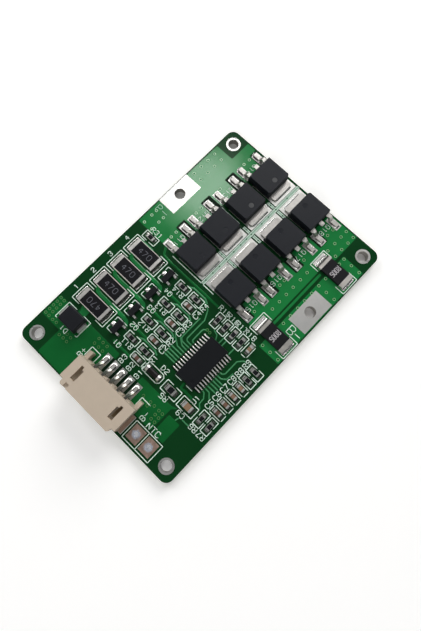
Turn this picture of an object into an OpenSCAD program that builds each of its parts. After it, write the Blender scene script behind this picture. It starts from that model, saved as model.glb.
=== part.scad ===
// Battery management board for a four-cell pack.
// The origin is the centre of the mounting-hole pattern, on the board's underside.
// +X runs along the long side, away from the cell-tap socket, and +Z is the component side.

/* [Board] */
// Length of the board
board_length = 60; // [60:1:80]
// Width of the board
board_width = 40; // [40:1:52]
// Thickness of the board
board_thickness = 1.6; // [0.8:0.2:2.4]
// Radius of the board's corners
corner_radius = 1.6; // [0.5:0.1:2.4]
// Distance of a mounting hole from each edge
hole_inset = 2.5; // [2.4:0.1:2.8]
// Diameter of a finished mounting hole
hole_diameter = 2.2; // [1.8:0.1:2.4]
// Width of the plated ring round a mounting hole
hole_ring = 0.4; // [0.2:0.05:0.5]

/* [Tinned copper] */
// Height of the tinned lands over the board
land_height = 0.05; // [0.03:0.01:0.08]
// Length of a power terminal pad
terminal_length = 7.9; // [6:0.1:9]
// Width of a power terminal pad
terminal_width = 4.2; // [3.6:0.1:4.4]
// Diameter of the hole in a power terminal pad
terminal_hole = 2.3; // [1.8:0.1:2.6]
// Length of a thermistor pad
thermistor_length = 3.1; // [2.6:0.1:3.4]
// Width of a thermistor pad
thermistor_width = 2.6; // [2.2:0.1:2.8]
// Diameter of a thermistor wire hole
thermistor_hole = 1; // [0.8:0.1:1.3]

/* [Power transistors] */
// Distance between two power transistors in a row
mosfet_pitch = 7.13; // [7:0.01:7.4]
// Width of the moulded body
mosfet_width = 6; // [5.6:0.1:6.4]
// Length of the moulded body
mosfet_length = 5.7; // [5.4:0.1:6]
// Height of the moulded body
mosfet_height = 2.3; // [1.8:0.1:2.6]
// Width of the heat tab
tab_width = 5; // [4.6:0.1:5.5]
// Distance between the two outer leads
mosfet_lead_span = 4.57; // [4.2:0.01:4.7]

/* [Controller] */
// Number of leads on each side
chip_leads = 14; // [10:1:14]
// Distance between two leads
chip_pitch = 0.65; // [0.5:0.01:0.65]
// Width of the moulded body
chip_width = 4.4; // [3.9:0.1:4.6]
// Thickness of the moulded body
chip_thickness = 0.95; // [0.8:0.05:1.1]

/* [Cell channels] */
// Distance between two cell channels
cell_pitch = 4.62; // [4.5:0.01:4.9]
// Length of a power resistor
power_length = 6.35; // [6:0.05:6.6]
// Width of a power resistor
power_width = 3.2; // [3:0.05:3.3]

/* [Socket] */
// Number of contacts in the cell-tap socket
contacts = 5; // [3:1:5]
// Distance between two contacts
contact_pitch = 2; // [1.8:0.1:2.1]
// Height of the socket
socket_height = 5.5; // [4.8:0.1:6]
// Depth of the socket from mouth to rear wall
socket_depth = 6; // [5.4:0.1:6.4]
// Thickness of the socket's walls
socket_wall = 0.7; // [0.6:0.05:0.9]
// Side of a square contact
contact_size = 0.5; // [0.4:0.05:0.6]

/* [Hidden] */
$fn = 48;
cut = 0.01;
west = -board_length / 2;
east = board_length / 2;
north = board_width / 2;
south = -board_width / 2;
seat = board_thickness + land_height;

// Terminals, as distances from the board's edges
terminal_x = 11.9;
pack_terminal_y = north - terminal_width / 2 - 0.15;
battery_terminal_y = south + terminal_width / 2 + 0.45;
thermistor_x = west + 2.55;
thermistor_y = [-9.6, -12.85];

// Two facing rows of four power transistors, each placed by the outer edge of its tab
mosfet_start = 5;
column_shift = [0, -0.18, 0, 0.05];
upper_tab_y = 2.3;
lower_tab_y = 0.2;
upper_stagger = [0, 0.2, 0.1, 0.4];
tab_reach = 1.3;
tab_thickness = 0.5;
lead_tip = 10;
upper_land_y = 1.9;
lower_land_y = 1;

// Cell channels, side by side from the west
channel_x = [for (i = [0:3]) -16.05 + i * cell_pitch];
balance_y = 13.55;
driver_y = 7.15;
bleed_y = 3.65;
filter_y = 0.05;
resistor_shift = 0.5;
capacitor_shift = -1.5;

// Controller
chip_x = -9.6;
chip_y = -9.25;
chip_length = (chip_leads - 1) * chip_pitch + 1.25;
chip_tip = 3.2;

// Chip parts as [length, width, height, terminal length]
small_resistor = [1.6, 0.85, 0.45, 0.3];
small_capacitor = [1.5, 0.78, 0.8, 0.38];
large_resistor = [2, 1.25, 0.55, 0.4];
large_capacitor = [2, 1.25, 1.1, 0.45];
balance_chip = [power_length, power_width, 0.6, 0.6];
shunt_chip = [power_length, power_width, 0.7, 0.9];

// Lone parts as [x, y, turn], where a turn of 0 lays the part along X
gate_places = [[1.1, 15.35, 90], [-6.1, -17.65, 90], [-4, -17.65, 90]];
detect_places = [[-17.05, -16.25, 0], [-17.05, -18.3, 0]];
output_places = [for (i = [0:3]) [-1.7, -5.75 - i * 2.04, 0]];
supply_place = [-17.3, -8.6, 90];
timing_places = concat([for (i = [0:3]) [-14.25 + i * 2.07, -17.65, 90]], [[-1.6, -13.9, 0]]);
reservoir_place = [-17.3, -12.95, 90];
shunt_places = [[3.6, -15.65, 90], [21.1, -15.6, 90]];
clamp_place = [-20.95, 14.15];
signal_place = [-17.35, -4];

// Signal diode and balance transistors
signal_length = 3.3;
signal_diameter = 1.4;
signal_cap = 0.5;
driver_lead_span = 1.9;
driver_tip = 1.2;

// Socket, centred on its middle contact
socket_y = 0.2;
socket_front = west + 0.07;
socket_rear = socket_front + socket_depth;
contact_span = (contacts - 1) * contact_pitch;
cavity_width = contact_span + 2.85;
nose_width = cavity_width + 2 * socket_wall;
socket_width = contact_span + 5.9;
socket_floor = 1;
cavity_height = socket_height - socket_floor - 0.9;
contact_z = socket_floor + cavity_height / 2;
nose_depth = 1;
contact_tip = socket_front + 1.3;
contact_foot = socket_rear + 2.55;
anchor_length = 3.9;
anchor_thickness = 0.2;
anchor_height = 2.6;

// ---- Shared shapes ----

// Flat plate with rounded corners, standing on its underside
module rounded_plate(length, width, height, radius) {
    translate([0, 0, height / 2]) {
        cube([length - 2 * radius, width, height], center = true);
        cube([length, width - 2 * radius, height], center = true);
    }
    for (x = [-1, 1], y = [-1, 1])
        translate([x * (length / 2 - radius), y * (width / 2 - radius), 0])
            cylinder(h = height, r = radius);
}

// Box centred in plan, standing on its underside
module block(length, width, height) {
    translate([-length / 2, -width / 2, 0]) cube([length, width, height]);
}

// Outline of a moulding that is widest at its parting line
module moulded_section(span, bottom, parting, top, draft) {
    low = span / 2 - (parting - bottom) * tan(draft);
    high = span / 2 - (top - parting) * tan(draft);
    polygon([[-low, bottom], [low, bottom], [span / 2, parting],
             [high, top], [-high, top], [-span / 2, parting]]);
}

// Moulded block with draft on all four sides, above and below its parting line
module moulded(length, width, bottom, parting, top, draft) {
    intersection() {
        rotate([90, 0, 0])
            linear_extrude(width + 1, center = true) moulded_section(length, bottom, parting, top, draft);
        rotate([90, 0, 90])
            linear_extrude(length + 1, center = true) moulded_section(width, bottom, parting, top, draft);
    }
}

// Lead that leaves a body towards +Y, bends down and ends in a flat foot
module gull_lead(root, shoulder, heel, tip, rise, width, thick) {
    bend = 0.6 * thick;
    rotate([90, 0, 90]) linear_extrude(width, center = true)
        polygon([[root, rise], [shoulder, rise], [heel, 0], [tip, 0], [tip, thick],
                 [heel + bend, thick], [shoulder + bend, rise + thick], [root, rise + thick]]);
}

// Solder that climbs from a land to a vertical face at y = 0, on the +Y side
module fillet(width, radius) {
    rotate([90, 0, 90]) linear_extrude(width, center = true) difference() {
        square(radius);
        translate([radius, radius]) circle(r = radius, $fn = 32);
    }
}

module at_place(place) {
    translate([place[0], place[1], seat]) rotate([0, 0, place[2]]) children();
}

// ---- Chip parts ----

// Ceramic body of a chip part along X, waisted at both ends for its terminals
module chip_body(size, skin = 0.04) {
    block(size[0] - 2 * size[3], size[1], size[2]);
    translate([0, 0, skin]) block(size[0] - 2 * skin, size[1] - 2 * skin, size[2] - 2 * skin);
}

// Resistor body with its glaze standing just over the terminals
module resistor_body(size, glaze = 0.04) {
    chip_body(size);
    translate([0, 0, size[2]]) block(size[0] - 2 * size[3] - 0.06, size[1] - 0.06, glaze);
}

// Metal caps over both ends of a chip part
module chip_caps(size) {
    for (side = [-1, 1]) difference() {
        translate([side * (size[0] - size[3]) / 2, 0, 0]) block(size[3], size[1], size[2]);
        chip_body(size);
    }
}

module chip_fillets(size) {
    for (turn = [-90, 90]) rotate([0, 0, turn]) translate([0, size[0] / 2, 0])
        fillet(size[1], min(0.4, 0.7 * size[2]));
}

// Pair of lands that reach beyond and a little under a chip part's terminals
module chip_lands(size) {
    reach = 0.5;
    for (side = [-1, 1])
        translate([side * (size[0] / 2 + reach - (size[3] + reach) / 2), 0, -land_height])
            block(size[3] + reach, size[1] + 0.05, land_height);
}

bleed_places = [for (x = channel_x) [x + resistor_shift, bleed_y, 90]];
filter_places = [for (x = channel_x) [x + resistor_shift, filter_y, 90]];
tap_places = [for (x = channel_x) [x + capacitor_shift, filter_y + 0.1, 90]];
balance_places = [for (x = channel_x) [x, balance_y, 90]];
small_resistor_places = concat(bleed_places, filter_places, output_places, gate_places, detect_places);
small_capacitor_places = concat(tap_places, timing_places);

// ---- Power transistor, with its tab's outer edge at y = 0 and its leads towards +Y ----

module mosfet_lead_frame_shape() {
    body_end = tab_reach + mosfet_length;
    pad_width = tab_width - 0.6;
    linear_extrude(tab_thickness)
        polygon([[-tab_width / 2 + 0.3, 0], [tab_width / 2 - 0.3, 0], [tab_width / 2, 0.3],
                 [tab_width / 2, tab_reach + 0.3], [pad_width / 2, tab_reach + 0.6],
                 [pad_width / 2, body_end - 1.6], [-pad_width / 2, body_end - 1.6],
                 [-pad_width / 2, tab_reach + 0.6], [-tab_width / 2, tab_reach + 0.3],
                 [-tab_width / 2, 0.3]]);
    for (side = [-1, 1]) translate([side * mosfet_lead_span / 2, 0, 0]) {
        gull_lead(body_end - 0.6, body_end + 0.5, body_end + 1.15, lead_tip, 0.9, 0.76, tab_thickness);
        translate([0, body_end, 0.9]) block(1, 0.9, tab_thickness);
    }
    translate([0, body_end + 0.15, 0.9]) block(0.9, 1.5, tab_thickness);
}

module mosfet_shape() {
    difference() {
        translate([0, tab_reach + mosfet_length / 2, 0])
            moulded(mosfet_width, mosfet_length, 0, 0.9, mosfet_height, 5);
        mosfet_lead_frame_shape();
        for (side = [-1, 1])
            translate([side * mosfet_width / 2, tab_reach, 0]) rotate([0, 0, 45])
                translate([0, 0, tab_thickness + mosfet_height / 2])
                    cube([0.75, 0.75, mosfet_height], center = true);
        translate([0, tab_reach + 1.45, mosfet_height - 0.06]) cylinder(h = 1, d = 1.1);
    }
}

module at_mosfet(i) {
    column = i % 4;
    x = mosfet_start + column * mosfet_pitch + column_shift[column];
    if (i < 4)
        translate([x, upper_tab_y + upper_stagger[column], seat]) children();
    else
        translate([x, lower_tab_y, seat]) rotate([0, 0, 180]) children();
}

// Lands under one transistor: a wide one for the tab and two for the leads
module mosfet_lands(start) {
    translate([0, (start + 6) / 2, 0]) block(6.1, 6 - start, land_height);
    for (side = [-1, 1])
        translate([side * mosfet_lead_span / 2, 9, 0]) block(1.5, 3, land_height);
}

// ---- Cell-tap socket ----

module socket_cavity() {
    translate([socket_front - cut, socket_y - cavity_width / 2, seat + socket_floor])
        cube([socket_depth - 1 + cut, cavity_width, cavity_height]);
}

module contact(y) {
    low = contact_z - contact_size / 2;
    high = contact_z + contact_size / 2;
    translate([0, y, seat]) rotate([90, 0, 0]) linear_extrude(contact_size, center = true)
        polygon([[contact_tip, contact_z - 0.1], [contact_tip + 0.4, low], [socket_rear + 0.1, low],
                 [contact_foot - 1.4, 0.1], [contact_foot - 1.2, 0], [contact_foot, 0],
                 [contact_foot, contact_size], [contact_foot - 1, contact_size],
                 [socket_rear + 0.35, high], [contact_tip + 0.4, high], [contact_tip, contact_z + 0.1]]);
}

module socket_anchor(side) {
    outer = side * socket_width / 2;
    translate([socket_front + 0.6, socket_y, seat]) {
        translate([0, side > 0 ? outer - anchor_thickness : outer, 0])
            cube([anchor_length, anchor_thickness, anchor_height]);
        translate([0, side > 0 ? outer : outer - 0.65, 0])
            cube([anchor_length, 0.65, anchor_thickness]);
    }
}

// ---- Sub-parts ----

// Child outline as a pad on both faces, round a hole; the lower pad is flush
module plated_pad(diameter) {
    difference() {
        for (z = [0, board_thickness]) translate([0, 0, z]) linear_extrude(land_height) children();
        translate([0, 0, -cut]) cylinder(h = seat + 2 * cut, d = diameter);
    }
}

// Room in the board for a pad's hole, at its finished diameter, and its flush lower face
module plated_pad_room(diameter) {
    translate([0, 0, -cut]) linear_extrude(land_height + cut) children();
    translate([0, 0, -cut]) cylinder(h = board_thickness + 2 * cut, d = diameter);
}

module at_mounting_holes() {
    for (x = [west + hole_inset, east - hole_inset], y = [south + hole_inset, north - hole_inset])
        translate([x, y, 0]) children();
}

module hole_outline() {
    circle(d = hole_diameter + 2 * hole_ring);
}

module terminal_outline() {
    square([terminal_length, terminal_width], center = true);
}

module thermistor_outline() {
    square([thermistor_length, thermistor_width], center = true);
}

module circuit_board() {
    color("darkgreen") difference() {
        rounded_plate(board_length, board_width, board_thickness, corner_radius);
        at_mounting_holes() plated_pad_room(hole_diameter) hole_outline();
        for (y = [pack_terminal_y, battery_terminal_y])
            translate([terminal_x, y, 0]) plated_pad_room(terminal_hole) terminal_outline();
        for (y = thermistor_y)
            translate([thermistor_x, y, 0]) plated_pad_room(thermistor_hole) thermistor_outline();
    }
}

module mounting_hole_plating() {
    color("silver") at_mounting_holes() plated_pad(hole_diameter) hole_outline();
}

module pack_terminal_pad() {
    color("gainsboro") translate([terminal_x, pack_terminal_y, 0])
        plated_pad(terminal_hole) terminal_outline();
}

module battery_terminal_pad() {
    color("silver") translate([terminal_x, battery_terminal_y, 0])
        plated_pad(terminal_hole) terminal_outline();
}

module thermistor_pads() {
    color("rosybrown") for (y = thermistor_y)
        translate([thermistor_x, y, 0]) plated_pad(thermistor_hole) thermistor_outline();
}

module component_lands() {
    color("silver") {
        for (p = small_resistor_places) at_place(p) chip_lands(small_resistor);
        for (p = small_capacitor_places) at_place(p) chip_lands(small_capacitor);
        for (p = balance_places) at_place(p) chip_lands(balance_chip);
        for (p = shunt_places) at_place(p) chip_lands(shunt_chip);
        at_place(supply_place) chip_lands(large_resistor);
        at_place(reservoir_place) chip_lands(large_capacitor);
        translate([0, 0, board_thickness]) {
            for (i = [0:3]) translate([mosfet_start + i * mosfet_pitch + column_shift[i], 0, 0]) {
                translate([0, upper_tab_y, 0]) mosfet_lands(upper_land_y - upper_tab_y);
                translate([0, lower_tab_y, 0]) rotate([0, 0, 180])
                    mosfet_lands(lower_tab_y - lower_land_y);
            }
            for (side = [-1, 1], x = [1:chip_leads])
                translate([chip_x + lead_offset(x), chip_y + side * 2.95, 0])
                    block(0.28, 1.5, land_height);
            for (x = channel_x) translate([x, driver_y, 0]) {
                translate([0, 1.1, 0]) block(0.6, 0.85, land_height);
                for (side = [-1, 1])
                    translate([side * driver_lead_span / 2, -1.1, 0]) block(0.6, 0.85, land_height);
            }
            for (side = [-1, 1]) {
                translate([clamp_place[0], clamp_place[1] + side * 2.2, 0])
                    block(2.4, 1.7, land_height);
                translate([signal_place[0], signal_place[1] + side * 1.45, 0])
                    block(1.5, 0.9, land_height);
                translate([socket_front + 0.6, socket_y + side * (socket_width / 2 + 0.25), 0])
                    translate([anchor_length / 2, 0, 0]) block(anchor_length + 0.2, 1.1, land_height);
            }
            for (i = [1:contacts])
                translate([contact_foot - 0.85, contact_y(i), 0]) block(3.2, 1.4, land_height);
        }
    }
}

function lead_offset(i) = (i - (chip_leads + 1) / 2) * chip_pitch;
function contact_y(i) = socket_y + (i - (contacts + 1) / 2) * contact_pitch;

module socket_housing() {
    ear = (socket_width - nose_width) / 2;
    rib = 0.85;
    slot = contact_span / 2 + 0.75;
    color("antiquewhite") difference() {
        union() {
            translate([socket_front, socket_y - nose_width / 2, seat])
                cube([socket_depth, nose_width, socket_height]);
            translate([socket_front + nose_depth, socket_y - socket_width / 2, seat])
                cube([socket_depth - nose_depth, socket_width, socket_height]);
            for (side = [-1, 1])
                translate([socket_rear - cut, socket_y + side * (socket_width - rib) / 2 - rib / 2, seat])
                    cube([1.45 + cut, rib, 2.4]);
            for (i = [1:contacts + 1])
                translate([socket_rear - cut, contact_y(i - 0.5) - 0.4, seat + 1.2])
                    cube([0.15 + cut, 0.8, socket_height - 2.9]);
        }
        socket_cavity();
        // Roof slots for the plug's ribs, with a narrower tail and a shallow groove to the rear
        for (side = [-1, 1]) translate([socket_front, socket_y + side * slot, seat + socket_floor + 1]) {
            translate([1.95, -0.5, 0]) cube([2.4, 1, socket_height]);
            translate([4.3, side * 0.22 - 0.28, 0]) cube([0.6, 0.56, socket_height]);
            translate([4.8, side * 0.35 - 0.15, cavity_height + 0.65]) cube([2, 0.3, socket_height]);
        }
        // Keying recess at the roof's front edge
        translate([socket_front - cut, socket_y + nose_width / 2 - 1.7, seat + socket_height - 0.5])
            cube([0.95, 0.75, 1]);
        // Chamfers at the mouth's outer corners
        for (side = [-1, 1]) translate([socket_front, socket_y + side * nose_width / 2, seat - 1])
            rotate([0, 0, 45]) translate([-0.2, -0.2, 0]) cube([0.4, 0.4, socket_height + 2]);
        for (i = [1:contacts]) contact(contact_y(i));
        for (side = [-1, 1]) socket_anchor(side);
        // Slots in the rear wall above the contacts
        for (i = [1:contacts])
            translate([socket_rear - 0.25, contact_y(i) - 0.45, seat + contact_z + 0.2])
                cube([1, 0.9, cavity_height / 2 - 0.2]);
    }
}

module socket_contacts() {
    color("silver") for (i = [1:contacts]) contact(contact_y(i));
}

module socket_anchors() {
    color("silver") for (side = [-1, 1]) socket_anchor(side);
}

module mosfet(i) {
    color("dimgray") at_mosfet(i) mosfet_shape();
}

module mosfet_lead_frame(i) {
    color("silver") at_mosfet(i) mosfet_lead_frame_shape();
}

module controller_leads() {
    color("silver") for (i = [1:chip_leads], turn = [0, 180])
        translate([chip_x, chip_y, seat]) rotate([0, 0, turn]) translate([lead_offset(i), 0, 0])
            gull_lead(chip_width / 2 - 0.3, chip_width / 2 + 0.3, chip_tip - 0.6, chip_tip, 0.5, 0.22, 0.13);
}

module controller() {
    color("dimgray") difference() {
        translate([chip_x, chip_y, seat])
            moulded(chip_length, chip_width, 0.1, 0.57, 0.1 + chip_thickness, 10);
        controller_leads();
        translate([chip_x - chip_length / 2 + 1, chip_y - chip_width / 2 + 1, seat + chip_thickness])
            cylinder(h = 1, d = 0.8);
    }
}

module balance_resistor(i) {
    color("dimgray") at_place(balance_places[i]) resistor_body(balance_chip);
}

module balance_resistor_terminals() {
    color("silver") for (p = balance_places) at_place(p) chip_caps(balance_chip);
}

module shunt_resistor(i) {
    color("dimgray") at_place(shunt_places[i]) resistor_body(shunt_chip);
}

module shunt_terminals() {
    color("silver") for (p = shunt_places) at_place(p) chip_caps(shunt_chip);
}

module clamp_diode_tabs() {
    color("silver") for (turn = [0, 180])
        translate([clamp_place[0], clamp_place[1], seat]) rotate([90, 0, 90 + turn])
            linear_extrude(2.1, center = true)
                polygon([[1.9, 0.95], [2.7, 0.95], [2.7, 0], [1.5, 0], [1.5, 0.2],
                         [2.5, 0.2], [2.5, 0.75], [1.9, 0.75]]);
}

module clamp_diode() {
    color("dimgray") difference() {
        translate([clamp_place[0], clamp_place[1], seat]) moulded(3.6, 4.4, 0.2, 0.85, 2.2, 7);
        clamp_diode_tabs();
    }
}

module at_signal_diode() {
    translate([signal_place[0], signal_place[1], seat + signal_diameter / 2]) rotate([90, 0, 0])
        children();
}

module signal_diode() {
    color("dimgray") at_signal_diode() {
        cylinder(h = signal_length - 2 * signal_cap, d = signal_diameter - 0.1, center = true);
        cylinder(h = signal_length - 0.1, d = signal_diameter - 0.3, center = true);
    }
}

module signal_diode_caps() {
    color("silver") difference() {
        at_signal_diode() for (side = [-1, 1])
            translate([0, 0, side * (signal_length - signal_cap) / 2])
                cylinder(h = signal_cap, d = signal_diameter, center = true);
        signal_diode();
    }
}

module at_driver(i) {
    translate([channel_x[i], driver_y, seat]) children();
}

module driver_leads_shape() {
    gull_lead(0.5, 0.75, 0.85, driver_tip, 0.45, 0.4, 0.13);
    for (side = [-1, 1]) rotate([0, 0, 180]) translate([side * driver_lead_span / 2, 0, 0])
        gull_lead(0.5, 0.75, 0.85, driver_tip, 0.45, 0.4, 0.13);
}

module balance_transistor(i) {
    color("dimgray") at_driver(i) difference() {
        moulded(2.9, 1.3, 0.05, 0.5, 1, 8);
        driver_leads_shape();
    }
}

module balance_transistor_leads() {
    color("silver") for (i = [0:3]) at_driver(i) driver_leads_shape();
}

module bleed_resistors() {
    color("dimgray") for (p = bleed_places) at_place(p) resistor_body(small_resistor);
}

module filter_resistors() {
    color("dimgray") for (p = filter_places) at_place(p) resistor_body(small_resistor);
}

module output_resistors() {
    color("dimgray") for (p = output_places) at_place(p) resistor_body(small_resistor);
}

module gate_resistors() {
    color("dimgray") for (p = concat(gate_places, detect_places)) at_place(p) resistor_body(small_resistor);
}

module supply_resistor() {
    color("dimgray") at_place(supply_place) resistor_body(large_resistor);
}

module chip_resistor_terminals() {
    color("silver") {
        for (p = small_resistor_places) at_place(p) chip_caps(small_resistor);
        at_place(supply_place) chip_caps(large_resistor);
    }
}

module filter_capacitors() {
    color("tan") for (p = tap_places) at_place(p) chip_body(small_capacitor);
}

module timing_capacitors() {
    color("tan") for (p = timing_places) at_place(p) chip_body(small_capacitor);
}

module reservoir_capacitor() {
    color("tan") at_place(reservoir_place) chip_body(large_capacitor);
}

module chip_capacitor_terminals() {
    color("silver") {
        for (p = small_capacitor_places) at_place(p) chip_caps(small_capacitor);
        at_place(reservoir_place) chip_caps(large_capacitor);
    }
}

module solder_joints() {
    color("lightgray") {
        for (p = small_resistor_places) at_place(p) chip_fillets(small_resistor);
        for (p = small_capacitor_places) at_place(p) chip_fillets(small_capacitor);
        for (p = balance_places) at_place(p) chip_fillets(balance_chip);
        for (p = shunt_places) at_place(p) chip_fillets(shunt_chip);
        at_place(supply_place) chip_fillets(large_resistor);
        at_place(reservoir_place) chip_fillets(large_capacitor);
        for (i = [0:7]) at_mosfet(i) {
            rotate([0, 0, 180]) fillet(tab_width - 0.7, 0.3);
            for (side = [-1, 1]) translate([side * mosfet_lead_span / 2, lead_tip, 0]) fillet(0.8, 0.35);
        }
        for (i = [1:contacts]) translate([contact_foot, contact_y(i), seat]) rotate([0, 0, -90])
            fillet(0.7, 0.4);
    }
}

circuit_board();
mounting_hole_plating();
pack_terminal_pad();
battery_terminal_pad();
thermistor_pads();
component_lands();
socket_housing();
socket_contacts();
socket_anchors();
for (i = [1:8]) mosfet(i - 1);
for (i = [1:8]) mosfet_lead_frame(i - 1);
controller();
controller_leads();
for (i = [1:4]) balance_resistor(i - 1);
balance_resistor_terminals();
for (i = [1:2]) shunt_resistor(i - 1);
shunt_terminals();
clamp_diode();
clamp_diode_tabs();
signal_diode();
signal_diode_caps();
for (i = [1:4]) balance_transistor(i - 1);
balance_transistor_leads();
bleed_resistors();
filter_resistors();
output_resistors();
gate_resistors();
supply_resistor();
chip_resistor_terminals();
filter_capacitors();
timing_capacitors();
reservoir_capacitor();
chip_capacitor_terminals();
solder_joints();
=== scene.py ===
# Battery management board for a four-cell pack, put together from the bare board upwards.
import bpy
import math
from mathutils import Matrix, Vector


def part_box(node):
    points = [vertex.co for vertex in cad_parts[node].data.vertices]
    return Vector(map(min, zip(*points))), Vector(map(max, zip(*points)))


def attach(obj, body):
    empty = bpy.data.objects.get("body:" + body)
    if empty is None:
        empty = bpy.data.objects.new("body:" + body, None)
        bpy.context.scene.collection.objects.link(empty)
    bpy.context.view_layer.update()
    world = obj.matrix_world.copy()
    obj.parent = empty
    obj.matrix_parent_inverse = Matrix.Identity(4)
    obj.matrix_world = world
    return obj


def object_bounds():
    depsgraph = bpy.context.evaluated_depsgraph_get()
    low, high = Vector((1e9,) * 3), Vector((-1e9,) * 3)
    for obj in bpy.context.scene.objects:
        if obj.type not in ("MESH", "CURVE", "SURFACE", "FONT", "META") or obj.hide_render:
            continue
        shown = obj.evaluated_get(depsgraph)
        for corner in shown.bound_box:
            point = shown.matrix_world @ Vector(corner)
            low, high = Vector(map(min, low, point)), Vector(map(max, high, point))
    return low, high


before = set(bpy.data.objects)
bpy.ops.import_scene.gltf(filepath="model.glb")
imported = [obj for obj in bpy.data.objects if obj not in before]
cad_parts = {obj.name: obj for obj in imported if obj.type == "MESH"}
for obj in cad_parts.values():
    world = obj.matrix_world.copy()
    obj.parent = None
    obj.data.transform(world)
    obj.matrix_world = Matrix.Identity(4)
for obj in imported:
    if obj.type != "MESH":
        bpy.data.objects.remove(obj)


# ---- Camera, floor and light ----
# The board lies flat under a camera held close over it and turned by an eighth. Soft lamps
# stand to the east, the north and the south-west, a small one overhead, in a pale room.
MM = 0.001
cad_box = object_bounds()
board_low, board_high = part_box("circuit_board")
board_top = board_high.z
board_middle = Vector(((board_low.x + board_high.x) / 2, (board_low.y + board_high.y) / 2, board_top))

scene = bpy.context.scene
scene.view_settings.view_transform = "Standard"

stand = board_middle + Vector((-14.34, -12.45, 85.59)) * MM
look = board_middle + Vector((-2.65, -0.13, 0)) * MM
roll = math.radians(-46.41)
forward = (look - stand).normalized()
across = forward.cross(Vector((0, 1, 0))).normalized()
along = across.cross(forward)
right = math.cos(roll) * across + math.sin(roll) * along
up = math.cos(roll) * along - math.sin(roll) * across

camera = bpy.data.objects.new("camera", bpy.data.cameras.new("camera"))
camera.data.lens = 25.67353
camera.data.shift_x, camera.data.shift_y = 0.0274, -0.0181
camera.data.clip_start = 0.005
camera.matrix_world = Matrix.Translation(stand) @ Matrix((right, up, -forward)).transposed().to_4x4()
scene.collection.objects.link(camera)
scene.camera = camera


def put(tree, kind, inputs=None, **settings):
    """Adds a node of that kind; an input is a number, a colour or another node's output."""
    made = tree.nodes.new(kind)
    for key, value in settings.items():
        setattr(made, key, value)
    for key, value in (inputs or {}).items():
        if isinstance(value, bpy.types.NodeSocket):
            tree.links.new(value, made.inputs[key])
        else:
            made.inputs[key].default_value = value
    return made


def out(tree, kind, inputs=None, **settings):
    """Adds a node and gives its first output."""
    return put(tree, kind, inputs, **settings).outputs[0]


def calc(tree, operation, *values, **settings):
    """One step of arithmetic on numbers or sockets."""
    return out(tree, "ShaderNodeMath", dict(enumerate(values)), operation=operation, **settings)


def ramp(tree, value, low, high, start=0.0, end=1.0):
    """A value carried from one range to another and held at its ends."""
    limits = {"Value": value, "From Min": low, "From Max": high, "To Min": start, "To Max": end}
    return out(tree, "ShaderNodeMapRange", limits)


def place(tree, space="Object"):
    """The X, Y and Z of the point that is shaded."""
    return put(tree, "ShaderNodeSeparateXYZ", {0: put(tree, "ShaderNodeTexCoord").outputs[space]}).outputs


def lamp(name, towards, distance, size, power, tint):
    """A square soft lamp that shines on the middle of the board."""
    light = bpy.data.lights.new(name, "AREA")
    light.size = size
    light.energy = power
    light.color = tint
    made = bpy.data.objects.new(name, light)
    direction = Vector(towards).normalized()
    made.matrix_world = (Matrix.Translation(board_middle + direction * distance)
                         @ direction.to_track_quat("Z", "Y").to_matrix().to_4x4())
    scene.collection.objects.link(made)


lamp("overhead_lamp", (33.2, 29.4, 85.6), 0.75, 0.11, 0.3, (1.0, 1.0, 1.0))
lamp("side_lamp", (72, 22, 50), 0.7, 0.4, 3.1, (1.0, 0.99, 0.98))
lamp("far_lamp", (5, 75, 56), 0.7, 0.4, 1.8, (1.0, 0.99, 0.98))
lamp("fill_lamp", (-70, -40, 60), 0.8, 0.6, 2.1, (1.0, 0.99, 0.97))
room = bpy.data.worlds.new("pale_room")
room.use_nodes = True
tree = room.node_tree
background = tree.nodes["Background"].inputs
background["Color"].default_value = (0.95, 0.98, 1.0, 1)
tree.links.new(ramp(tree, place(tree, "Generated")["Z"], 0.55, 0.85, 0.1, 0.2), background["Strength"])
scene.world = room

floor_mesh = bpy.data.meshes.new("floor")
floor_z, reach = cad_box[0].z - 0.02 * MM, 2
floor_mesh.from_pydata([(x * reach, y * reach, floor_z) for x, y in ((-1, -1), (1, -1), (1, 1), (-1, 1))], [],
                       [(0, 1, 2, 3)])
floor = bpy.data.objects.new("floor", floor_mesh)
scene.collection.objects.link(floor)

paper = bpy.data.materials.new("paper")
paper.use_nodes = True
tree = paper.node_tree
sheet = tree.nodes["Principled BSDF"]
sheet.inputs["Base Color"].default_value = (0.95, 0.945, 0.94, 1)
sheet.inputs["Roughness"].default_value = 0.9
sheet.inputs["Specular IOR Level"].default_value = 0.1
rays = put(tree, "ShaderNodeLightPath").outputs
seen = calc(tree, "MAXIMUM", rays["Is Camera Ray"], rays["Is Glossy Ray"])
seen = calc(tree, "MAXIMUM", seen, rays["Is Transmission Ray"])
# Under the board the floor's glow fades out towards the middle and is gone under the east half, so the floor seen
# through the holes there stays dark: painted shade.
spot = place(tree)
beyond = [calc(tree, "GREATER_THAN", calc(tree, "ABSOLUTE", spot[axis]), half)
          for axis, half in (("X", board_high.x), ("Y", board_high.y))]
beyond = calc(tree, "MAXIMUM", *beyond)
lit = calc(tree, "MAXIMUM", beyond, ramp(tree, spot["X"], 0.6 * board_low.x, 0.0, 1.0, 0.0))
floor_lift = 0.21
lift = calc(tree, "MULTIPLY", calc(tree, "MULTIPLY", seen, lit), floor_lift)
glow = out(tree, "ShaderNodeEmission", {"Color": (1, 1, 1, 1), "Strength": lift})
both = out(tree, "ShaderNodeAddShader", {0: sheet.outputs[0], 1: glow})
tree.links.new(both, tree.nodes["Material Output"].inputs["Surface"])
floor_mesh.materials.append(paper)


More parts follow.
